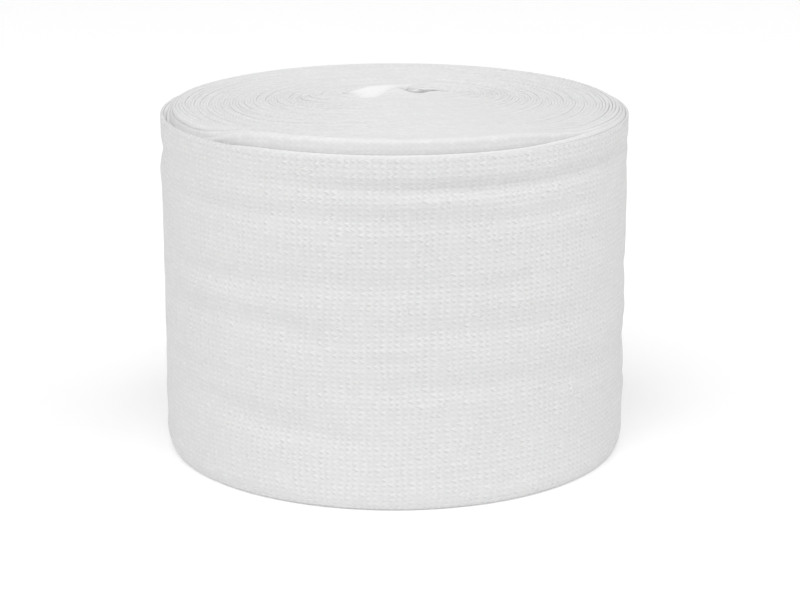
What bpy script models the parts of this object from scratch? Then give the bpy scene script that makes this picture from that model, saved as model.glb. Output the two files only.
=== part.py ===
"""A tubular bandage roll: one flat knitted cotton tube, 100 mm wide, wound on itself with no core.

The roll stands on its end with its axis along +Z. The origin is the centre of its foot, the
front is -Y, and lengths are in metres.
"""

import math

import bmesh
import bpy

# Driving dimensions of the roll
HEIGHT = 0.1000  # width of the flattened tube, so the height of the outer turn
RADIUS = 0.0682
TURN = 0.00097  # thickness of one turn: two plies of knit
SHOULDER_RISE = 0.0020  # how far the turns inside stand above the outer turn
DOME_RISE = 0.0034  # how far the core stands above the shoulder
DOME_RADIUS = 0.0610
DISH_DEPTH = 0.0030  # the core is pushed up through the roll, which leaves the foot hollow
FOOT_INNER_RADIUS = 0.050  # the flat ring that the roll stands on
FOOT_OUTER_RADIUS = 0.0656

# Grid of the solid: columns round the axis, and rings from the foot to the top
COLUMN_STEP_DEG = 4.5
WALL_HEIGHTS = (
    0.0060, 0.0110, 0.0160, 0.0200, 0.0240, 0.0280, 0.0325, 0.0370, 0.0415, 0.0460, 0.0505, 0.0550,
    0.0595, 0.0640, 0.0680, 0.0720, 0.0765, 0.0805, 0.0840, 0.0870, 0.0895, 0.0920, 0.0943, 0.0960,
)
LOWER_EYE_RINGS = (0.3, 0.7, 1.0)  # shares of the lower eye's outline
FOOT_RINGS = (0.36, 0.58, 0.80)  # shares of the way from the lower eye to the flat ring
TOP_RINGS = (0.97, 0.93, 0.86, 0.76, 0.64, 0.52, 0.40, 0.29, 0.19, 0.10, 0.04)  # rim to eye
EYE_RINGS = (0.84, 0.68, 0.52, 0.36, 0.20, 0.08)  # shares of the eye's outline

# Soft troughs that run round the wall. Each lies at its height at its middle angle and sags
# towards its ends. Angles are anticlockwise from +X, so the front is 270.
TROUGH_COLUMNS = ("height", "sag", "depth", "half_width", "middle_deg", "half_span_deg")
TROUGHS = (
    (0.0925, -0.0012, 0.00110, 0.0020, 292.0, 84.0),
    (0.0918, 0.0000, 0.00080, 0.0022, 188.0, 40.0),
    (0.0848, 0.0026, 0.00045, 0.0024, 262.0, 96.0),
    (0.0671, 0.0012, 0.00070, 0.0034, 262.0, 70.0),
    (0.0541, 0.0036, 0.00065, 0.0032, 268.0, 98.0),
    (0.0388, 0.0026, 0.00060, 0.0030, 296.0, 62.0),
    (0.0365, 0.0006, 0.00055, 0.0030, 208.0, 36.0),
    (0.0248, 0.0004, 0.00055, 0.0034, 246.0, 44.0),
    (0.0790, 0.0020, 0.00070, 0.0030, 78.0, 86.0),
    (0.0590, 0.0015, 0.00060, 0.0034, 104.0, 92.0),
    (0.0400, 0.0020, 0.00065, 0.0032, 66.0, 80.0),
    (0.0230, 0.0010, 0.00055, 0.0032, 96.0, 74.0),
)

# The top of the outer turn, and the shoulder of the turns inside it. A groove opens between them
# at the front left, where the outer turn stands away.
GROOVE_MIDDLE_DEG = 206.0
GROOVE_HALF_SPAN_DEG = 46.0
RIM_COLUMNS = ("inset", "rise", "groove_inset", "groove_rise")  # from the wall's radius and HEIGHT
RIM = (
    (0.0000, -0.0020, 0.0000, -0.0022),
    (0.0003, -0.0007, 0.0002, -0.0008),
    (0.0009, 0.0000, 0.0007, -0.0002),
    (0.0014, 0.0004, 0.0012, -0.0012),
    (0.0021, 0.0012, 0.0016, 0.0004),
    (0.0036, 0.0020, 0.0036, 0.0018),
)

# At the front the dome stays high nearly to the rim
FRONT_MIDDLE_DEG = 272.0
FRONT_HALF_SPAN_DEG = 64.0
FRONT_SAG = 0.0014
FRONT_EDGE_START = 0.0570

FOOT_EDGE_COLUMNS = ("inset", "rise")  # the rounded fold at the bottom of the wall
FOOT_EDGE = (
    (0.0012, 0.0004),
    (0.0003, 0.0014),
    (0.0000, 0.0030),
)

# The tube's cut end, a step of one turn down the back of the wall
CUT_END_DEG = 62.0
CUT_END_RUN_DEG = 0.6
CUT_END_FADE_DEG = 42.0

# The eye, where the first turn folds across the core and leaves a lit pocket and a dark slot
EYE_HALF_LENGTH = 0.0140
EYE_HALF_WIDTH = 0.0044
EYE_TURN_DEG = 6.5
EYE_POINTEDNESS = 0.68
LEAST_WIDTH = 0.0002
POCKET_MIDDLE = -0.0050  # along the eye, to the left
POCKET_HALF_LENGTH = 0.0092
POCKET_DEPTH = 0.0042
POCKET_BED = -0.70  # where the bed lies across the eye, from -1 at the near lip to 1
LIP_RISE = 0.0016  # the ply behind the pocket stands proud
LIP_FADE = 0.0028
SLOT_MIDDLE = 0.0082
SLOT_HALF_LENGTH = 0.0052
SLOT_DEPTH = 0.0050
SLOT_HALF_WIDTH = 0.0010
LOWER_EYE_DEPTH = 0.0030

KNIT_COLOUR = (0.86, 0.86, 0.86, 1.0)
KNIT_ROUGHNESS = 0.95
SHARP_ANGLE_DEG = 40.0


def turned_from(angle_deg, middle_deg):
    """The shorter way round from a middle angle, in degrees from -180 to 180."""
    return (angle_deg - middle_deg + 180.0) % 360.0 - 180.0


def fade(distance, half_span):
    """1 at the middle, easing to 0 at the end of the span."""
    share = min(abs(distance) / half_span, 1.0)
    return 0.5 + 0.5 * math.cos(math.pi * share)


def smooth_step(share):
    share = min(max(share, 0.0), 1.0)
    return share * share * (3.0 - 2.0 * share)


def mix(a, b, share):
    return a + (b - a) * share


def column_angles():
    """Even columns, and a close pair at the cut end."""
    even = [COLUMN_STEP_DEG * i for i in range(round(360.0 / COLUMN_STEP_DEG))]
    return sorted(even + [CUT_END_DEG, CUT_END_DEG - CUT_END_RUN_DEG])


def trough_depth(angle_deg, height):
    """How far the troughs draw the wall in at one place."""
    depth = 0.0
    for values in TROUGHS:
        trough = dict(zip(TROUGH_COLUMNS, values))
        away = turned_from(angle_deg, trough["middle_deg"])
        share = away / trough["half_span_deg"]
        if abs(share) >= 1.0:
            continue
        middle = trough["height"] - trough["sag"] * share * share
        across = (height - middle) / trough["half_width"]
        depth += trough["depth"] * fade(away, trough["half_span_deg"]) * math.exp(-across * across)
    return depth


def step_depth(angle_deg):
    """The wall steps in past the cut end, and comes back out where the turn below fills out."""
    past = (CUT_END_DEG - angle_deg) % 360.0
    if past < CUT_END_RUN_DEG or past > CUT_END_FADE_DEG:
        return 0.0
    return TURN * (1.0 - smooth_step(past / CUT_END_FADE_DEG))


def groove_share(angle_deg):
    return fade(turned_from(angle_deg, GROOVE_MIDDLE_DEG), GROOVE_HALF_SPAN_DEG)


def polar(angle_deg, radius):
    angle = math.radians(angle_deg)
    return radius * math.cos(angle), radius * math.sin(angle)


def eye_half_width(along):
    """Half the lens's width at one place along it, which narrows to a point at both ends."""
    room = max(0.0, 1.0 - (along / EYE_HALF_LENGTH) ** 2)
    return EYE_HALF_WIDTH * room**EYE_POINTEDNESS


def eye_outline(angle_deg, share):
    """A lens whose long axis turns a little to the back right."""
    angle = math.radians(angle_deg - EYE_TURN_DEG)
    along = EYE_HALF_LENGTH * math.cos(angle)
    across = math.copysign(eye_half_width(along), math.sin(angle)) * share
    along *= share
    turn = math.radians(EYE_TURN_DEG)
    return (
        along * math.cos(turn) - across * math.sin(turn),
        along * math.sin(turn) + across * math.cos(turn),
    )


def eye_relief(x, y):
    """Height added at the eye: the pocket with its sloping far side, its proud lip and the slot."""
    turn = math.radians(EYE_TURN_DEG)
    along = x * math.cos(turn) + y * math.sin(turn)
    across = y * math.cos(turn) - x * math.sin(turn)
    half_width = eye_half_width(along)
    pocket = max(0.0, 1.0 - ((along - POCKET_MIDDLE) / POCKET_HALF_LENGTH) ** 2)
    share = across / max(half_width, LEAST_WIDTH)
    if share < -1.0:
        relief = 0.0
    elif share < POCKET_BED:
        relief = -POCKET_DEPTH * pocket * smooth_step((share + 1.0) / (POCKET_BED + 1.0))
    elif share < 1.0:
        slope = (share - POCKET_BED) / (1.0 - POCKET_BED)
        relief = pocket * mix(-POCKET_DEPTH, LIP_RISE, slope)
    else:
        behind = (across - half_width) / LIP_FADE
        relief = LIP_RISE * pocket * math.exp(-behind * behind)
    slot = max(0.0, 1.0 - ((along - SLOT_MIDDLE) / SLOT_HALF_LENGTH) ** 2)
    return relief - SLOT_DEPTH * slot * math.exp(-((across / SLOT_HALF_WIDTH) ** 2))


def rim_radius():
    return RADIUS - RIM[-1][RIM_COLUMNS.index("inset")]


def dome_height(x, y):
    """The dome eases down to the shoulder, and near the front it keeps its height for longer."""
    radius = math.hypot(x, y)
    even = DOME_RISE * fade(radius, DOME_RADIUS)
    edge = smooth_step((radius - FRONT_EDGE_START) / (rim_radius() - FRONT_EDGE_START))
    high = (DOME_RISE - FRONT_SAG * (radius / DOME_RADIUS) ** 2) * (1.0 - edge)
    away = turned_from(math.degrees(math.atan2(y, x)), FRONT_MIDDLE_DEG)
    share = fade(away, FRONT_HALF_SPAN_DEG) * smooth_step(radius / EYE_HALF_LENGTH)
    return mix(even, high, share)


def top_point(x, y):
    return x, y, HEIGHT + SHOULDER_RISE + dome_height(x, y) + eye_relief(x, y)


def foot_point(x, y, lens_share):
    """The dished foot. lens_share is 1 on the lower eye's outline and 0 at its middle line."""
    radius = math.hypot(x, y)
    rise = DISH_DEPTH * fade(radius, FOOT_INNER_RADIUS)
    return x, y, rise + LOWER_EYE_DEPTH * (1.0 - lens_share)


def foot_rings(angles):
    """The flat ring and the dish inside it, from the lower eye outwards."""
    rings = []
    for share in LOWER_EYE_RINGS:
        rings.append([foot_point(*eye_outline(angle, share), share) for angle in angles])
    for share in FOOT_RINGS:
        ring = []
        for angle in angles:
            inner = eye_outline(angle, 1.0)
            outer = polar(angle, FOOT_INNER_RADIUS)
            ring.append(foot_point(mix(inner[0], outer[0], share), mix(inner[1], outer[1], share), 1.0))
        rings.append(ring)
    for radius in (FOOT_INNER_RADIUS, FOOT_OUTER_RADIUS):
        rings.append([(*polar(angle, radius), 0.0) for angle in angles])
    return rings


def wall_rings(angles):
    rings = []
    for values in FOOT_EDGE:
        edge = dict(zip(FOOT_EDGE_COLUMNS, values))
        rings.append(
            [
                (*polar(angle, RADIUS - edge["inset"] - step_depth(angle)), edge["rise"])
                for angle in angles
            ]
        )
    for height in WALL_HEIGHTS:
        ring = []
        for angle in angles:
            radius = RADIUS - trough_depth(angle, height) - step_depth(angle)
            ring.append((*polar(angle, radius), height))
        rings.append(ring)
    return rings


def rim_point(rim, angle_deg):
    share = groove_share(angle_deg)
    inset = mix(rim["inset"], rim["groove_inset"], share) + step_depth(angle_deg)
    height = HEIGHT + mix(rim["rise"], rim["groove_rise"], share)
    radius = RADIUS - inset - trough_depth(angle_deg, height)
    return (*polar(angle_deg, radius), height)


def rim_rings(angles):
    """The outer turn's rounded top fold, and the shoulder inside it."""
    return [[rim_point(dict(zip(RIM_COLUMNS, values)), angle) for angle in angles] for values in RIM]


def top_rings(angles):
    """The domed end of the roll, from the rim in to the eye, and the eye's own rings."""
    rings = []
    for share in TOP_RINGS:
        ring = []
        for angle in angles:
            inner = eye_outline(angle, 1.0)
            outer = polar(angle, rim_radius())
            ring.append(top_point(mix(inner[0], outer[0], share), mix(inner[1], outer[1], share)))
        rings.append(ring)
    for share in (1.0, *EYE_RINGS):
        rings.append([top_point(*eye_outline(angle, share)) for angle in angles])
    return rings


def knit_material():
    material = bpy.data.materials.new("white_knit")
    material.use_nodes = True
    shader = material.node_tree.nodes["Principled BSDF"]
    shader.inputs["Base Color"].default_value = KNIT_COLOUR
    shader.inputs["Roughness"].default_value = KNIT_ROUGHNESS
    shader.inputs["Metallic"].default_value = 0.0
    return material


def make_roll():
    """The whole wound form as one closed solid, ring on ring."""
    angles = column_angles()
    rings = foot_rings(angles) + wall_rings(angles) + rim_rings(angles) + top_rings(angles)
    shape = bmesh.new()
    grid = [[shape.verts.new(point) for point in ring] for ring in rings]
    count = len(angles)
    for lower, upper in zip(grid, grid[1:]):
        for i in range(count):
            j = (i + 1) % count
            shape.faces.new((lower[i], lower[j], upper[j], upper[i]))
    foot_middle = shape.verts.new(foot_point(0.0, 0.0, 0.0))
    top_middle = shape.verts.new(top_point(0.0, 0.0))
    for i in range(count):
        j = (i + 1) % count
        shape.faces.new((foot_middle, grid[0][j], grid[0][i]))
        shape.faces.new((top_middle, grid[-1][i], grid[-1][j]))
    mesh = bpy.data.meshes.new("roll")
    shape.to_mesh(mesh)
    shape.free()
    mesh.materials.append(knit_material())
    mesh.shade_smooth()
    mesh.set_sharp_from_angle(angle=math.radians(SHARP_ANGLE_DEG))
    roll = bpy.data.objects.new("roll", mesh)
    bpy.context.scene.collection.objects.link(roll)
    return roll


for startup_object in list(bpy.data.objects):
    bpy.data.objects.remove(startup_object)
make_roll()
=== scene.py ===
"""The looks of a tubular bandage roll: white knitted tube, wound flat on itself with no core."""

import math

import bpy
import numpy as np
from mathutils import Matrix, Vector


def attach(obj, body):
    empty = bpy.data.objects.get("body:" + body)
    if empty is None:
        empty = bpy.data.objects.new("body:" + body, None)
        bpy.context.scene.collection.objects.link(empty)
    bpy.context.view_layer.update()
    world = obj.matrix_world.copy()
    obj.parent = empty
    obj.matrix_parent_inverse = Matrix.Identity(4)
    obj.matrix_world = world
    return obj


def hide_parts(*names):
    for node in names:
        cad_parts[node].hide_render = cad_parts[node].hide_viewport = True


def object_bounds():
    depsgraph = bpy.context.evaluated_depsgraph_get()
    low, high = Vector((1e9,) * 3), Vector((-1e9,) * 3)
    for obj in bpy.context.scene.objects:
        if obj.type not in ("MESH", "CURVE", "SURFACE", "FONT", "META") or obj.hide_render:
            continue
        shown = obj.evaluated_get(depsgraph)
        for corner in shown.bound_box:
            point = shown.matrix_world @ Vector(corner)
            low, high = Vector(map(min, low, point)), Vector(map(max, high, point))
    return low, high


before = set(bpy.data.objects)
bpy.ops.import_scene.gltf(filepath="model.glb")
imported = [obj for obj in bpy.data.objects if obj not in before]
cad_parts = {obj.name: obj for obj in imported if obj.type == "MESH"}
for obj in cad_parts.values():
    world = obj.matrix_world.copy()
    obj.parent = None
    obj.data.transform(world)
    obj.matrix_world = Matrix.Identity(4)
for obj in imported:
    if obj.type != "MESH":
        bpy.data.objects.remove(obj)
solid_low, solid_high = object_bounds()

# The inner turns
# One knitted cotton tube, 100 mm wide laid flat and about 15 m long, is wound on itself with no
# core. These are its turns inside the last one, held by their own grip. Each shows a folded edge
# at the top and the foot, and the first end lies folded over the eye in the middle.
TUBE_WIDTH = 0.1000
ROLL_RADIUS = (solid_high.x - solid_low.x) / 2
LAST_TURN = 62
STEPPED_TURNS = 9.0  # this many outer turns step out at the cut end more than they spiral
CUT_END_DEG = 62.0  # the tube's outer end, at the back
STEP_FADE_DEG = 42.0  # past it, the turn below comes back out to the wall's radius
PLY_SHARE = 0.497  # half of a turn's thickness, as a share of the turns' spacing


def mix(a, b, share):
    return a + (b - a) * share


def smooth_step(share):
    share = np.clip(share, 0.0, 1.0)
    return share * share * (3.0 - 2.0 * share)


def layer_of(turn):
    """Counts layers from the core. The outer turns step out at the cut end, the inner ones evenly."""
    whole = np.minimum(np.floor(turn), LAST_TURN - 1)
    part = turn - whole
    even = smooth_step((LAST_TURN - whole - 1.0) / STEPPED_TURNS)
    return whole + mix(smooth_step(part * 360.0 / STEP_FADE_DEG), part, even)


def angle_of(turn):
    """The turns run clockwise, seen from above, and reach the cut end's angle at whole numbers."""
    return CUT_END_DEG - 360.0 * turn


EYE_HALF_LENGTH = 0.0150
EYE_TURN_DEG = 6.5
EYE_END_POWER = 1.2  # over 1, so that the eye's ends close to a point
FIRST_TURN = (CUT_END_DEG - 180.0 - EYE_TURN_DEG) / 360.0 % 1.0  # at the eye's left end
PINCH_HALF_WIDTH = 0.0003  # the eye is pressed nearly shut between its two lobes
LOBE_HALF_WIDTH = 0.0035  # the left one, where the first end lies
LOBE_MIDDLE = -0.0074
LOBE_SPREAD = 0.0050
SLOT_HALF_WIDTH = 0.00035  # the right one is a slot
SLOT_MIDDLE = 0.0096
SLOT_SPREAD = 0.0034
BEND_DEPTH = 0.0022  # the eye's middle line bends towards the front between the two
BEND_MIDDLE = 0.0048
BEND_SPREAD = 0.0042


def hump(place, middle, spread):
    return np.exp(-(((place - middle) / spread) ** 2))


def eye_half_width(along):
    lobe = LOBE_HALF_WIDTH * hump(along, LOBE_MIDDLE, LOBE_SPREAD)
    slot = SLOT_HALF_WIDTH * hump(along, SLOT_MIDDLE, SLOT_SPREAD)
    return PINCH_HALF_WIDTH + lobe + slot


def eye_middle(along):
    return -BEND_DEPTH * hump(along, BEND_MIDDLE, BEND_SPREAD)


def from_eye(along, across):
    """Turns a place on the eye's own axes to the roll's."""
    turn = math.radians(EYE_TURN_DEG)
    return (
        along * math.cos(turn) - across * math.sin(turn),
        along * math.sin(turn) + across * math.cos(turn),
    )


def to_eye(x, y):
    """Turns a place on the roll's axes to the eye's own."""
    turn = math.radians(EYE_TURN_DEG)
    return (
        x * math.cos(turn) + y * math.sin(turn),
        y * math.cos(turn) - x * math.sin(turn),
    )


def wound_place(angle_deg, layer):
    """Plan position in the winding: the eye's outline at the first layer, a circle at the last."""
    share = (layer - FIRST_TURN) / (LAST_TURN + PLY_SHARE - FIRST_TURN)
    local = np.radians(angle_deg - EYE_TURN_DEG)
    along = EYE_HALF_LENGTH * np.cos(local)
    lens = np.sign(np.sin(local)) * np.abs(np.sin(local)) ** EYE_END_POWER * eye_half_width(along)
    eye_x, eye_y = from_eye(along, lens + eye_middle(along))
    angle = np.radians(angle_deg)
    return (
        mix(eye_x, ROLL_RADIUS * np.cos(angle), share),
        mix(eye_y, ROLL_RADIUS * np.sin(angle), share),
    )


def turned_from(angle_deg, middle_deg):
    return (angle_deg - middle_deg + 180.0) % 360.0 - 180.0


def fade(distance, half_span):
    share = np.minimum(np.abs(distance) / half_span, 1.0)
    return 0.5 + 0.5 * np.cos(np.pi * share)


SHOULDER_RISE = 0.0020  # how far the inner turns stand above the outer turn
SHOULDER_INSET = 0.0036
RIM_INSETS = (0.0009, 0.0014, 0.0021, SHOULDER_INSET)  # from the wall's radius
RIM_RISES = (0.0000, 0.0004, 0.0012, SHOULDER_RISE)  # from the outer turn's top
GROOVE_TURNS = (0.9, 2.0, 3.0, 4.0, 5.0, 7.0)  # turns in from the wall
GROOVE_RISES = (-0.0002, -0.0026, -0.0016, 0.0005, 0.0016, 0.0025)
GROOVE_DEG = 207.0  # a groove opens behind the outer turn at the front left
GROOVE_HALF_SPAN_DEG = 44.0
GROOVE_FULL = 1.4  # over 1, so that the groove keeps its depth over its middle
GROOVE_LAST_TURN = 12.0
GROOVE_END_TURNS = 6.0


def shoulder_rise(angle_deg, inset, turns_in):
    plain = np.interp(inset, RIM_INSETS, RIM_RISES)
    grooved = np.interp(turns_in, GROOVE_TURNS, GROOVE_RISES)
    share = fade(turned_from(angle_deg, GROOVE_DEG), GROOVE_HALF_SPAN_DEG)
    near_wall = smooth_step((GROOVE_LAST_TURN - turns_in) / GROOVE_END_TURNS)
    return mix(plain, grooved, np.minimum(share * GROOVE_FULL, 1.0) * near_wall)


DOME_RISE = 0.0034
DOME_RADIUS = 0.0610
FRONT_DEG = 272.0  # the dome keeps its height nearly to the rim here
FRONT_HALF_SPAN_DEG = 64.0
FRONT_SAG = 0.0014
FRONT_EDGE_START = 0.0570


def dome_height(x, y):
    radius = np.hypot(x, y)
    even = DOME_RISE * fade(radius, DOME_RADIUS)
    end = ROLL_RADIUS - SHOULDER_INSET
    edge = smooth_step((radius - FRONT_EDGE_START) / (end - FRONT_EDGE_START))
    high = (DOME_RISE - FRONT_SAG * (radius / DOME_RADIUS) ** 2) * (1.0 - edge)
    away = turned_from(np.degrees(np.arctan2(y, x)), FRONT_DEG)
    share = fade(away, FRONT_HALF_SPAN_DEG) * smooth_step(radius / EYE_HALF_LENGTH)
    return mix(even, high, share)


# Places on the eye's own axes. The near side sinks before the first end and stands up to its
# right. The far side of the slot stands a little proud, and its near side sinks.
EYE_RISE_COLUMNS = ("rise", "along", "along_spread", "across", "across_spread")
EYE_RISES = (
    (-0.0012, -0.0086, 0.0058, -0.0040, 0.0028),
    (0.0012, 0.0002, 0.0038, -0.0016, 0.0022),
    (0.0007, 0.0085, 0.0045, 0.0015, 0.0020),
    (-0.0005, 0.0095, 0.0035, -0.0030, 0.0020),
)


def eye_rise(x, y):
    along, across = to_eye(x, y)
    rise = 0.0
    for values in EYE_RISES:
        row = dict(zip(EYE_RISE_COLUMNS, values))
        beside = hump(along, row["along"], row["along_spread"])
        rise = rise + row["rise"] * beside * hump(across, row["across"], row["across_spread"])
    return rise


# The turns don't sit quite level: single turns stand up a little, and groups of them drift.
TURN_WAVE_COLUMNS = ("rise", "waves_in_a_turn", "start")
TURN_WAVES = (
    (0.00007, 0.37, 0.0),
    (0.00006, 1.63, 2.0),
    (0.00016, 1.045, 0.8),
    (0.00012, 2.09, 0.0),
)


def turn_rise(turn):
    rise = 0.0
    for values in TURN_WAVES:
        wave = dict(zip(TURN_WAVE_COLUMNS, values))
        rise = rise + wave["rise"] * np.sin(turn * 2 * np.pi * wave["waves_in_a_turn"] + wave["start"])
    return rise


STEP_TURNS = (0.9, 1.4, 2.022, 2.045, 2.4, 3.5, 7.5, 11.0)
STEP_RISES = (-0.0002, -0.0002, 0.0002, 0.0034, 0.0041, 0.0044, 0.0044, 0.0043)
STEP_DEG = 268.0  # along the front the third turn stands up over the outer two
STEP_HALF_SPAN_DEG = 59.0
STEP_SOFT_DEG = 30.0
STEP_LAST_TURN = 7.5
STEP_END_TURNS = 4.0


def top_of(turn, angle_deg, layer):
    x, y = wound_place(angle_deg, layer)
    inset = np.maximum(ROLL_RADIUS - np.hypot(x, y), 0.0)
    turns_in = LAST_TURN + PLY_SHARE - layer
    plain = shoulder_rise(angle_deg, inset, turns_in) + dome_height(x, y)
    past_step = smooth_step((turns_in - STEP_LAST_TURN) / STEP_END_TURNS)
    stepped = mix(np.interp(turns_in, STEP_TURNS, STEP_RISES), plain, past_step)
    away = np.abs(turned_from(angle_deg, STEP_DEG))
    share = smooth_step((STEP_HALF_SPAN_DEG - away) / STEP_SOFT_DEG)
    return TUBE_WIDTH + mix(plain, stepped, share) + eye_rise(x, y) + turn_rise(turn)


DISH_DEPTH = 0.0030
DISH_RADIUS = 0.0500


def foot_of(angle_deg, layer):
    x, y = wound_place(angle_deg, layer)
    return DISH_DEPTH * fade(np.hypot(x, y), DISH_RADIUS)


PRESS_IN = 0.0024
PRESSED_TURNS = 10.0


def pressed(layer, depth):
    return depth * np.clip(1.0 - (LAST_TURN - layer) / PRESSED_TURNS, 0.0, 1.0)


LEAN = 0.0011  # the far side of the slot leans forward over it
LEANING_TURNS = 2.5
LEAN_MIDDLE = 0.0080
LEAN_SPREAD = 0.0050
LEAN_EDGE = 0.0006
LEAN_START = 1.5  # in edges, on the near side of the eye's long axis


def lean_at(x, y, layer):
    along, across = to_eye(x, y)
    early = np.exp(-np.maximum(layer - FIRST_TURN, 0.0) / LEANING_TURNS)
    far_side = smooth_step(across / LEAN_EDGE + LEAN_START)
    return LEAN * early * hump(along, LEAN_MIDDLE, LEAN_SPREAD) * far_side


SIDE_LOW = 0.0060  # between these heights the turns behind the wall are drawn in, so it can dip
SIDE_HIGH = 0.0935
NECK_HEIGHT = 0.0960
NECK_LEAN = 0.8
COLLAR_DROP = 0.0004
COLLAR_LEAN = 0.9
FOLD_HEIGHT = 0.00010
FOLD_ANGLES = np.radians((0.0, 45.0, 90.0, 135.0, 180.0))
FOOT_FOLD_ANGLES = np.radians((180.0, 270.0, 360.0))
FOOT_DRAW_IN = 0.0015  # the wall's foot is rounded inwards


def wound_loop(turn):
    """The loop of points round the flat tube's section, at each turn number."""
    angle, middle = angle_of(turn), layer_of(turn)
    level = np.ones_like(turn)
    low, high, neck = SIDE_LOW * level, SIDE_HIGH * level, NECK_HEIGHT * level
    outer_collar = top_of(turn, angle, middle + PLY_SHARE) - COLLAR_DROP
    inner_collar = top_of(turn, angle, middle - PLY_SHARE) - COLLAR_DROP
    foot = foot_of(angle, middle)
    # one row for each point of the loop: its share of the thickness, height, press and lean
    rows = [(1.0, low, PRESS_IN, 0.0), (1.0, high, PRESS_IN, 0.0)]
    rows += [(1.0, neck, 0.0, NECK_LEAN), (1.0, outer_collar, 0.0, COLLAR_LEAN)]
    for a in FOLD_ANGLES:
        side = math.cos(a)
        place = top_of(turn, angle, middle + side * PLY_SHARE)
        rows.append((side, place - FOLD_HEIGHT * (1.0 - math.sin(a)), 0.0, 1.0))
    rows += [(-1.0, inner_collar, 0.0, COLLAR_LEAN), (-1.0, neck, 0.0, NECK_LEAN)]
    rows += [(-1.0, high, PRESS_IN, 0.0), (-1.0, low, PRESS_IN, 0.0)]
    for a in FOOT_FOLD_ANGLES:
        rows.append((math.cos(a), foot + FOLD_HEIGHT * (1.0 + math.sin(a)), FOOT_DRAW_IN, 0.0))
    loop = []
    for side, height, press, lean in rows:
        layer = middle + side * PLY_SHARE
        x, y = wound_place(angle, layer)
        scale = 1.0 - pressed(layer, press) / np.hypot(x, y)
        shift = lean * lean_at(x, y, layer)
        loop.append(np.stack([x * scale, y * scale - shift, height], 1))
    return np.stack(loop, 1)


FIRST_END_RIGHT = 0.0050  # the first end's cut edge, along the eye, at its top
FIRST_END_FOOT = -0.0012  # and at its foot
FIRST_END_TIP = 0.0009  # how far short of the eye's left end it turns back
FIRST_END_STATIONS = 44
FIRST_END_RISE = 0.0020
FIRST_END_RISE_POWER = 0.8
HALF_PLY = 0.0006
PLY_SHARE_OF_ROOM = 0.4
ROOM_POWER = 0.6
# Each point of the ramp has its drop below the top, its share of the eye's half width, and how
# far the cut edge has gone there from its place at the top to its place at the foot.
RAMP_COLUMNS = ("drop", "across", "slant")
RAMP_FOOT = (0.0058, -0.80, 1.0)
RAMP_BEND = (0.0032, -0.45, 0.62)
RAMP_MIDDLE = (0.0012, 0.35, 0.25)
RAMP_TOP_ACROSS = 0.92


def first_end_loop():
    """The tube's first end, which leans back over the left of the eye like a ramp, and turns in."""
    share = np.linspace(0.0, 1.0, FIRST_END_STATIONS)
    tip = -EYE_HALF_LENGTH + FIRST_END_TIP
    top_along, foot_along = mix(FIRST_END_RIGHT, tip, share), mix(FIRST_END_FOOT, tip, share)
    x, y = from_eye(top_along, eye_middle(top_along))
    stands = FIRST_END_RISE * (1.0 - share) ** FIRST_END_RISE_POWER
    top = TUBE_WIDTH + SHOULDER_RISE + dome_height(x, y) + stands

    def point(side, height, across, slant):
        along = mix(top_along, foot_along, slant)
        room = eye_half_width(along) * (1.0 - (along / EYE_HALF_LENGTH) ** 2) ** ROOM_POWER
        half = np.minimum(HALF_PLY, room * PLY_SHARE_OF_ROOM)
        px, py = from_eye(along, eye_middle(along) + across * room - side * half)
        return np.stack([px, py, height], 1)

    ramp = [dict(zip(RAMP_COLUMNS, values)) for values in (RAMP_FOOT, RAMP_BEND, RAMP_MIDDLE)]
    foot_across = ramp[0]["across"]
    low = SIDE_LOW * np.ones_like(top)
    loop = [point(1, low, foot_across, 1.0)]
    loop += [point(1, top - row["drop"], row["across"], row["slant"]) for row in ramp]
    for a in FOLD_ANGLES:
        height = top - FOLD_HEIGHT * (1.0 - math.sin(a))
        loop.append(point(math.cos(a), height, RAMP_TOP_ACROSS, 0.0))
    loop += [point(-1, top - row["drop"], row["across"], row["slant"]) for row in reversed(ramp)]
    loop.append(point(-1, low, foot_across, 1.0))
    for a in FOOT_FOLD_ANGLES:
        height = (DISH_DEPTH + FOLD_HEIGHT + FOLD_HEIGHT * math.sin(a)) * np.ones_like(top)
        loop.append(point(math.cos(a), height, foot_across, 1.0))
    return np.stack(loop, 1)


def lengths_along(points):
    """Distance along the tube to each station, down the middle of the loop."""
    middle = points.mean(1)
    steps = np.linalg.norm(np.diff(middle, axis=0), axis=1)
    return np.concatenate([[0.0], np.cumsum(steps)])


def widths_round(points, top_index):
    """Distance round each loop to its points and back to the first, counted from the top fold."""
    steps = np.linalg.norm(np.roll(points, -1, 1) - points, axis=2)
    widths = np.concatenate([np.zeros((len(points), 1)), np.cumsum(steps, 1)], 1)
    return widths - widths[:, top_index : top_index + 1]


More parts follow.
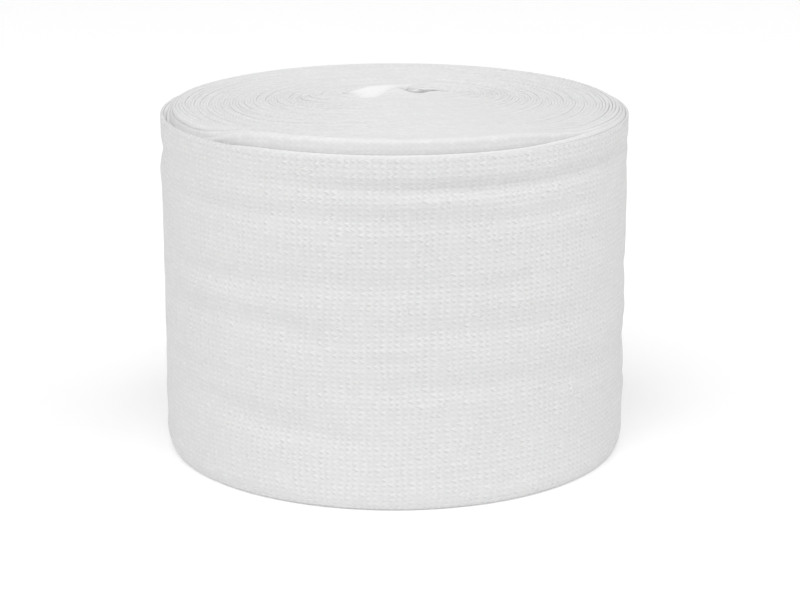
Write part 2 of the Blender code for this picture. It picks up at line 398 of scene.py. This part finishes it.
def loop_grid_mesh(name, points, length_along, width_round):
    """A mesh of a closed loop swept along the tube, closed at both ends, with a map of the cloth.

    The map named cloth holds the place on the tube in metres, so that the stitches follow it.
    """
    stations, around = points.shape[:2]
    index = np.arange(stations * around).reshape(stations, around)
    near, far = index[:-1], index[1:]
    quads = np.stack([near, np.roll(near, -1, 1), np.roll(far, -1, 1), far], 2).reshape(-1, 4)
    u = np.broadcast_to(length_along[:, None], (stations, around + 1))
    uv = np.stack([u, width_round], 2)
    quad_uv = np.stack([uv[:-1, :-1], uv[:-1, 1:], uv[1:, 1:], uv[1:, :-1]], 2).reshape(-1, 4, 2)
    flat = points.reshape(-1, 3)
    corners = flat[quads]
    volume = np.einsum("ij,ij->i", corners[:, 0], np.cross(corners[:, 1], corners[:, 2])).sum()
    if volume < 0:
        quads, quad_uv = quads[:, ::-1], quad_uv[:, ::-1]
        ends = [index[0].tolist(), index[-1][::-1].tolist()]
    else:
        ends = [index[0][::-1].tolist(), index[-1].tolist()]
    mesh = bpy.data.meshes.new(name)
    mesh.from_pydata(flat.tolist(), [], quads.tolist() + ends)
    layer = mesh.uv_layers.new(name="cloth")
    end_uv = [[u[0, 0], 0.0]] * around + [[u[-1, 0], 0.0]] * around
    corner_uv = np.concatenate([quad_uv.reshape(-1, 2), end_uv])
    layer.uv.foreach_set("vector", corner_uv.ravel().astype(np.float32))
    mesh.shade_smooth()
    mesh.validate()
    return mesh


def add_piece(mesh):
    piece = bpy.data.objects.new(mesh.name, mesh)
    bpy.context.scene.collection.objects.link(piece)
    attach(piece, "root")
    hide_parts("roll")
    return piece


OVERLAP = 0.03  # the outer turn's start, hidden under the cut end
CORE_STEPS, STEPS = 72, 96
CORE_TURNS = 16
INNER_TOP_POINT = 6  # the loop's point at the middle of the top fold


def turn_numbers(start, end, steps):
    return np.linspace(start, end, max(2, round((end - start) * steps)), endpoint=False)


inner_end = LAST_TURN - 1 - OVERLAP
core = turn_numbers(FIRST_TURN, CORE_TURNS, CORE_STEPS)
rest = turn_numbers(CORE_TURNS, inner_end, STEPS)
wound = wound_loop(np.concatenate([core, rest, [inner_end]]))
inner_points = np.concatenate([first_end_loop(), wound])
inner_lengths = lengths_along(inner_points)
inner_widths = widths_round(inner_points, INNER_TOP_POINT)
inner_turns = add_piece(loop_grid_mesh("inner_turns", inner_points, inner_lengths, inner_widths))


class Value:
    """A shader socket that works in Python expressions, and the way to add any other node."""

    def __init__(self, tree, socket=None):
        self.tree = tree
        self.socket = socket

    def node(self, kind, settings=(), inputs=(), output=0):
        made = self.tree.nodes.new(kind)
        for key, value in dict(settings).items():
            setattr(made, key, value)
        for key, value in dict(inputs).items():
            if isinstance(value, Value):
                self.tree.links.new(value.socket, made.inputs[key])
            else:
                made.inputs[key].default_value = value
        return Value(self.tree, made.outputs[output])

    def output(self, index):
        """Another output of the node that this value comes from."""
        return Value(self.tree, self.socket.node.outputs[index])

    def math(self, operation, *values):
        return self.node("ShaderNodeMath", {"operation": operation}, enumerate(values))

    def fraction(self):
        return self.math("FRACT", self)

    def whole(self):
        return self.math("FLOOR", self)

    def size(self):
        return self.math("ABSOLUTE", self)

    def sine(self):
        return self.math("SINE", self)

    def cosine(self):
        return self.math("COSINE", self)

    def __add__(self, other):
        return self.math("ADD", self, other)

    def __radd__(self, other):
        return self.math("ADD", other, self)

    def __sub__(self, other):
        return self.math("SUBTRACT", self, other)

    def __rsub__(self, other):
        return self.math("SUBTRACT", other, self)

    def __mul__(self, other):
        return self.math("MULTIPLY", self, other)

    def __rmul__(self, other):
        return self.math("MULTIPLY", other, self)

    def __truediv__(self, other):
        return self.math("DIVIDE", self, other)

    def __rtruediv__(self, other):
        return self.math("DIVIDE", other, self)

    def __pow__(self, other):
        return self.math("POWER", self, other)

    def __rpow__(self, other):
        return self.math("POWER", other, self)


WALE_WIDTH = 0.00148  # from one line of stitches to the next, across the tube
COURSE_LENGTH = 0.00194  # from one stitch to the next, along it
WANDER_SCALE = 120.0  # the lines of stitches wander a little
WANDER_ALONG, WANDER_ACROSS = 1.2, 0.6
STITCH_DEPTH = 0.00027
LEG_SHARE, ROW_SHARE = 0.66, 0.22  # a stitch is two slanting legs, lower between the wales
LEG_POWER = 0.8
UNEVEN_SHARE, EVEN_SHARE = 0.8, 0.4
FIBRE_SCALE = 1500.0
FIBRE_SHARE = 0.5
PATCH_SCALE = 22.0
FINE_DETAIL, PATCH_DETAIL = 2.0, 3.0
# The yarn's colour is painted shade where the stitch is low, in the gaps between its legs and between the
# wales, and tone that differs at random from stitch to stitch and in broad patches.
SHADE_OF_STITCH, SHADE_OF_PATCH, SHADE_DROP = 0.8, 0.5, 0.35
YARN_WHITE = (0.78, 0.78, 0.78, 1.0)
PAINTED_GAP_SHADE_AND_TONE = (0.70, 0.70, 0.70, 1.0)
YARN_ROUGHNESS = 0.92
LOOSE_END_PAINTED_LIGHT = (0.82, 0.82, 0.82, 1.0)
LOOSE_LENGTH = 0.026  # the first end stands loose for this far, and is painted whiter there as painted light, for the light that comes through it
LOOSE_FADE = 1.6
TURNS_STITCH_STRENGTH = 0.12  # the folded edges at the top are smoothed by the winding


def knit_material(name, stitch_strength):
    """Plain bleached cotton knit: V stitches in wales that run along the tube, with painted shade in the
    gaps between them and random tone.
    """
    material = bpy.data.materials.new(name)
    material.use_nodes = True
    tree = material.node_tree
    shader = tree.nodes["Principled BSDF"]
    knit = Value(tree)

    def noise(scale, detail):
        sockets = {"Vector": cloth, "Scale": scale, "Detail": detail}
        return knit.node("ShaderNodeTexNoise", {"noise_dimensions": "2D"}, sockets)

    def mixed_colour(share, first, second):
        settings = {"data_type": "RGBA", "clamp_factor": True}
        return knit.node("ShaderNodeMix", settings, {0: share, 6: first, 7: second}, 2)

    cloth = knit.node("ShaderNodeUVMap", {"uv_map": "cloth"})
    place = knit.node("ShaderNodeSeparateXYZ", (), {"Vector": cloth})
    wander = noise(WANDER_SCALE, FINE_DETAIL)
    fibres = noise(FIBRE_SCALE, FINE_DETAIL)
    patches = noise(PATCH_SCALE, PATCH_DETAIL)
    along = place / COURSE_LENGTH + wander * WANDER_ALONG
    across = place.output(1) / WALE_WIDTH + wander * WANDER_ACROSS
    side = (across.fraction() - 0.5).size() * 2.0
    turned = side * side * (3.0 - side * 2.0)
    leg_place = along + turned * 0.5
    leg = (leg_place.fraction() * math.pi).sine()
    row = (side * math.pi).cosine()
    cell = knit.node("ShaderNodeCombineXYZ", (), {0: leg_place.whole(), 1: across.whole()})
    uneven = knit.node("ShaderNodeTexWhiteNoise", {"noise_dimensions": "2D"}, {"Vector": cell})
    stitch = leg**LEG_POWER * LEG_SHARE + row * ROW_SHARE + ROW_SHARE
    stitch = stitch * (uneven * UNEVEN_SHARE + EVEN_SHARE) + fibres * FIBRE_SHARE
    relief = {"Strength": stitch_strength, "Distance": STITCH_DEPTH, "Height": stitch}
    bump = knit.node("ShaderNodeBump", (), relief)
    # painted shade in the gaps between the stitches, mixed with random tone from the patches
    painted_gap_shade_and_tone = stitch * SHADE_OF_STITCH + patches * SHADE_OF_PATCH - SHADE_DROP
    colour = mixed_colour(painted_gap_shade_and_tone, PAINTED_GAP_SHADE_AND_TONE, YARN_WHITE)
    # painted light: the loose first end is painted whiter for the light that comes through it
    loose_end_painted_light = LOOSE_FADE - place / LOOSE_LENGTH * LOOSE_FADE
    colour = mixed_colour(loose_end_painted_light, colour, LOOSE_END_PAINTED_LIGHT)
    tree.links.new(colour.socket, shader.inputs["Base Color"])
    tree.links.new(bump.socket, shader.inputs["Normal"])
    shader.inputs["Roughness"].default_value = YARN_ROUGHNESS
    return material


inner_turns.data.materials.append(knit_material("knit_of_the_turns", TURNS_STITCH_STRENGTH))

# The outer turn
# The same tube's last turn, which makes the wall and holds the roll together. Its knit is drawn
# into soft troughs that run round it, and its end is cut off straight and lies down the back.

# A trough's ends lie lower than its middle by its sag, and its slope tilts it, over its half span.
TROUGH_COLUMNS = ("height", "slope", "sag", "depth", "half_width", "middle_deg", "half_span_deg")
TROUGHS = (
    (0.0912, 0.0, -0.0012, 0.00170, 0.0021, 296.0, 80.0),
    (0.0900, 0.0, 0.0000, 0.00060, 0.0022, 188.0, 40.0),
    (0.0832, 0.0, 0.0020, 0.00062, 0.0024, 252.0, 60.0),
    (0.0815, 0.0, 0.0010, 0.00065, 0.0024, 306.0, 40.0),
    (0.0826, -0.0010, 0.0000, 0.00050, 0.0024, 214.0, 34.0),
    (0.0640, 0.0, 0.0012, 0.00070, 0.0032, 262.0, 74.0),
    (0.0622, 0.0, 0.0000, 0.00055, 0.0026, 214.0, 36.0),
    (0.0508, 0.0020, 0.0004, 0.00100, 0.0028, 218.0, 42.0),
    (0.0480, -0.0072, 0.0000, 0.00060, 0.0042, 252.0, 26.0),
    (0.0508, -0.0018, 0.0010, 0.00065, 0.0030, 296.0, 60.0),
    (0.0358, 0.0, 0.0026, 0.00075, 0.0030, 292.0, 58.0),
    (0.0338, 0.0, 0.0006, 0.00070, 0.0030, 208.0, 36.0),
    (0.0240, -0.0042, 0.0000, 0.00175, 0.0036, 236.0, 40.0),
    (0.0560, 0.0, 0.0000, 0.00080, 0.0036, 342.0, 34.0),
    (0.0330, 0.0, 0.0000, 0.00070, 0.0030, 344.0, 30.0),
    (0.0770, 0.0, 0.0020, 0.00090, 0.0030, 78.0, 86.0),
    (0.0560, 0.0, 0.0015, 0.00080, 0.0034, 104.0, 92.0),
    (0.0370, 0.0, 0.0020, 0.00085, 0.0032, 66.0, 80.0),
    (0.0210, 0.0, 0.0010, 0.00075, 0.0032, 96.0, 74.0),
)


def trough_depth(angle_deg, height):
    depth = 0.0
    for values in TROUGHS:
        trough = dict(zip(TROUGH_COLUMNS, values))
        away = turned_from(angle_deg, trough["middle_deg"])
        share = away / trough["half_span_deg"]
        middle = trough["height"] + trough["slope"] * share - trough["sag"] * share * share
        reach = fade(away, trough["half_span_deg"])
        depth = depth + trough["depth"] * reach * hump(height, middle, trough["half_width"])
    return depth


SMALL_DIPS = 130
SMALL_DIPS_SEED = 11
SMALL_DIP_DEPTH = 0.00042
SMALL_DIP_HEIGHTS = (0.006, 0.094)
SMALL_DIP_HALF_SPANS_DEG = (14.0, 46.0)
SMALL_DIP_HALF_WIDTHS = (0.0011, 0.0030)
SMALL_DIP_RISE = 0.0035  # each is tilted by up to this over its half span


def small_dips(angle_deg, height):
    """Slight unevenness between the troughs: long low dips and swells, drawn out round the roll."""
    places = np.random.default_rng(SMALL_DIPS_SEED)
    depth = 0.0
    for _ in range(SMALL_DIPS):
        middle_deg = places.uniform(0.0, 360.0)
        middle = places.uniform(*SMALL_DIP_HEIGHTS)
        span = places.uniform(*SMALL_DIP_HALF_SPANS_DEG)
        width = places.uniform(*SMALL_DIP_HALF_WIDTHS)
        size = SMALL_DIP_DEPTH * places.uniform(-1.0, 1.0)
        rise = places.uniform(-SMALL_DIP_RISE, SMALL_DIP_RISE)
        away = turned_from(angle_deg, middle_deg)
        depth = depth + size * fade(away, span) * hump(height, middle + rise * away / span, width)
    return depth


DIPS_END = 0.0030  # troughs and dips die away over this height, below the neck
FOOT_DRAW_HEIGHT = 0.0050


def wall_place(turn, side, height):
    """A point of the outer turn at a height: side is 1 on its outer face and -1 on its inner one."""
    angle = angle_of(turn)
    layer = layer_of(turn) + side * PLY_SHARE
    x, y = wound_place(angle, layer)
    foot = FOOT_DRAW_IN * np.clip(1.0 - height / FOOT_DRAW_HEIGHT, 0.0, 1.0) ** 2
    free = smooth_step((NECK_HEIGHT - height) / DIPS_END)
    dip = (trough_depth(angle, height) + small_dips(angle, height)) * free + foot
    scale = 1.0 - dip / np.hypot(x, y)
    return np.stack([x * scale, y * scale, height], 1)


WALL_LEVELS = 96
INSIDE_LEVELS = 24
WALL_STEPS = 400
OUTER_FOLD = 0.00030
WALL_LOW = 0.0012
WALL_HIGH = TUBE_WIDTH - OUTER_FOLD - 0.0003
WALL_TOP_POINT = WALL_LEVELS + 2
WALL_STITCH_STRENGTH = 0.9

outer_turns = np.linspace(inner_end, LAST_TURN, WALL_STEPS)
outer_rows = [(1.0, height) for height in np.linspace(WALL_LOW, WALL_HIGH, WALL_LEVELS)]
outer_rows += [(math.cos(a), TUBE_WIDTH - OUTER_FOLD * (1 - math.sin(a))) for a in FOLD_ANGLES]
outer_rows += [(-1.0, height) for height in np.linspace(WALL_HIGH, WALL_LOW, INSIDE_LEVELS)]
outer_rows += [(math.cos(a), OUTER_FOLD * (1 + math.sin(a))) for a in FOOT_FOLD_ANGLES]
level = np.ones_like(outer_turns)
outer_points = np.stack([wall_place(outer_turns, side, height * level) for side, height in outer_rows], 1)
outer_lengths = inner_lengths[-1] + lengths_along(outer_points)
outer_widths = widths_round(outer_points, WALL_TOP_POINT)
outer_turn = add_piece(loop_grid_mesh("outer_turn", outer_points, outer_lengths, outer_widths))
outer_turn.data.materials.append(knit_material("knit_of_the_wall", WALL_STITCH_STRENGTH))

# The floor
# A plain matt white table top, painted, which glows faintly so that it stays white behind the
# roll. The roll only stands on it.
FLOOR_SIZE = 12.0
FLOOR_WHITE = (0.88, 0.88, 0.88, 1.0)
FLOOR_ROUGHNESS = 0.9
FLOOR_GLOSS = 0.1
GLOW_WHITE = (1.0, 1.0, 1.0, 1.0)
FLOOR_GLOW = 0.18

half = FLOOR_SIZE / 2
floor_corners = [(-half, -half, 0), (half, -half, 0), (half, half, 0), (-half, half, 0)]
floor_mesh = bpy.data.meshes.new("floor")
floor_mesh.from_pydata(floor_corners, [], [(0, 1, 2, 3)])
floor = bpy.data.objects.new("floor", floor_mesh)
bpy.context.scene.collection.objects.link(floor)
floor_paint = bpy.data.materials.new("floor_white")
floor_paint.use_nodes = True
floor_shader = floor_paint.node_tree.nodes["Principled BSDF"]
floor_shader.inputs["Base Color"].default_value = FLOOR_WHITE
floor_shader.inputs["Roughness"].default_value = FLOOR_ROUGHNESS
floor_shader.inputs["Specular IOR Level"].default_value = FLOOR_GLOSS
floor_shader.inputs["Emission Color"].default_value = GLOW_WHITE
floor_shader.inputs["Emission Strength"].default_value = FLOOR_GLOW
floor.data.materials.append(floor_paint)

# The light
# An even white surround, with wide soft lamps at the front left, the front and the front right,
# and a smaller one high above the front.
SURROUND = 0.32
SURROUND_WHITE = (1.0, 1.0, 1.0, 1.0)
LAMP_DISTANCE = 5.0
LAMP_COLUMNS = ("energy", "size", "from_front_deg", "up_deg")  # left of the front is below nought
LAMPS = (
    (110.0, 6.0, -64.0, 46.0),
    (44.0, 3.0, -8.0, 44.0),
    (116.0, 6.0, 68.0, 46.0),
    (44.0, 2.5, 0.0, 74.0),
)

world = bpy.data.worlds.new("surround")
bpy.context.scene.world = world
world.use_nodes = True
background = world.node_tree.nodes["Background"]
background.inputs["Color"].default_value = SURROUND_WHITE
background.inputs["Strength"].default_value = SURROUND
roll_middle = np.array((0.0, 0.0, TUBE_WIDTH / 2))
for values in LAMPS:
    lamp = dict(zip(LAMP_COLUMNS, values))
    light = bpy.data.lights.new("lamp", "AREA")
    light.energy = lamp["energy"]
    light.size = lamp["size"]
    hung_lamp = bpy.data.objects.new("lamp", light)
    bpy.context.scene.collection.objects.link(hung_lamp)
    turn, up = math.radians(lamp["from_front_deg"]), math.radians(lamp["up_deg"])
    way = np.array((math.sin(turn) * math.cos(up), -math.cos(turn) * math.cos(up), math.sin(up)))
    hung_lamp.location = roll_middle + LAMP_DISTANCE * way
    hung_lamp.rotation_euler = (math.pi / 2 - up, 0.0, turn)

# The camera
# At the photograph's angle: its place, tilt and lens were fitted to the roll's rim, foot and sides.
# The colours are shown plainly, as a shop's white picture has them.
LENS_MM = 109.85
FILM_WIDTH_MM = 36.0
CAMERA_PLACE = (0.0, -0.7021, 0.2387)
CAMERA_PITCH_DEG = 15.66
CAMERA_YAW_DEG = 0.13
NEAREST = 0.01

lens = bpy.data.cameras.new("camera")
lens.lens = LENS_MM
lens.sensor_width = FILM_WIDTH_MM
lens.clip_start = NEAREST
camera = bpy.data.objects.new("camera", lens)
camera.location = CAMERA_PLACE
camera.rotation_euler = (math.radians(90.0 - CAMERA_PITCH_DEG), 0.0, math.radians(-CAMERA_YAW_DEG))
bpy.context.scene.collection.objects.link(camera)
bpy.context.scene.camera = camera
bpy.context.scene.view_settings.view_transform = "Standard"

bpy.context.view_layer.update()
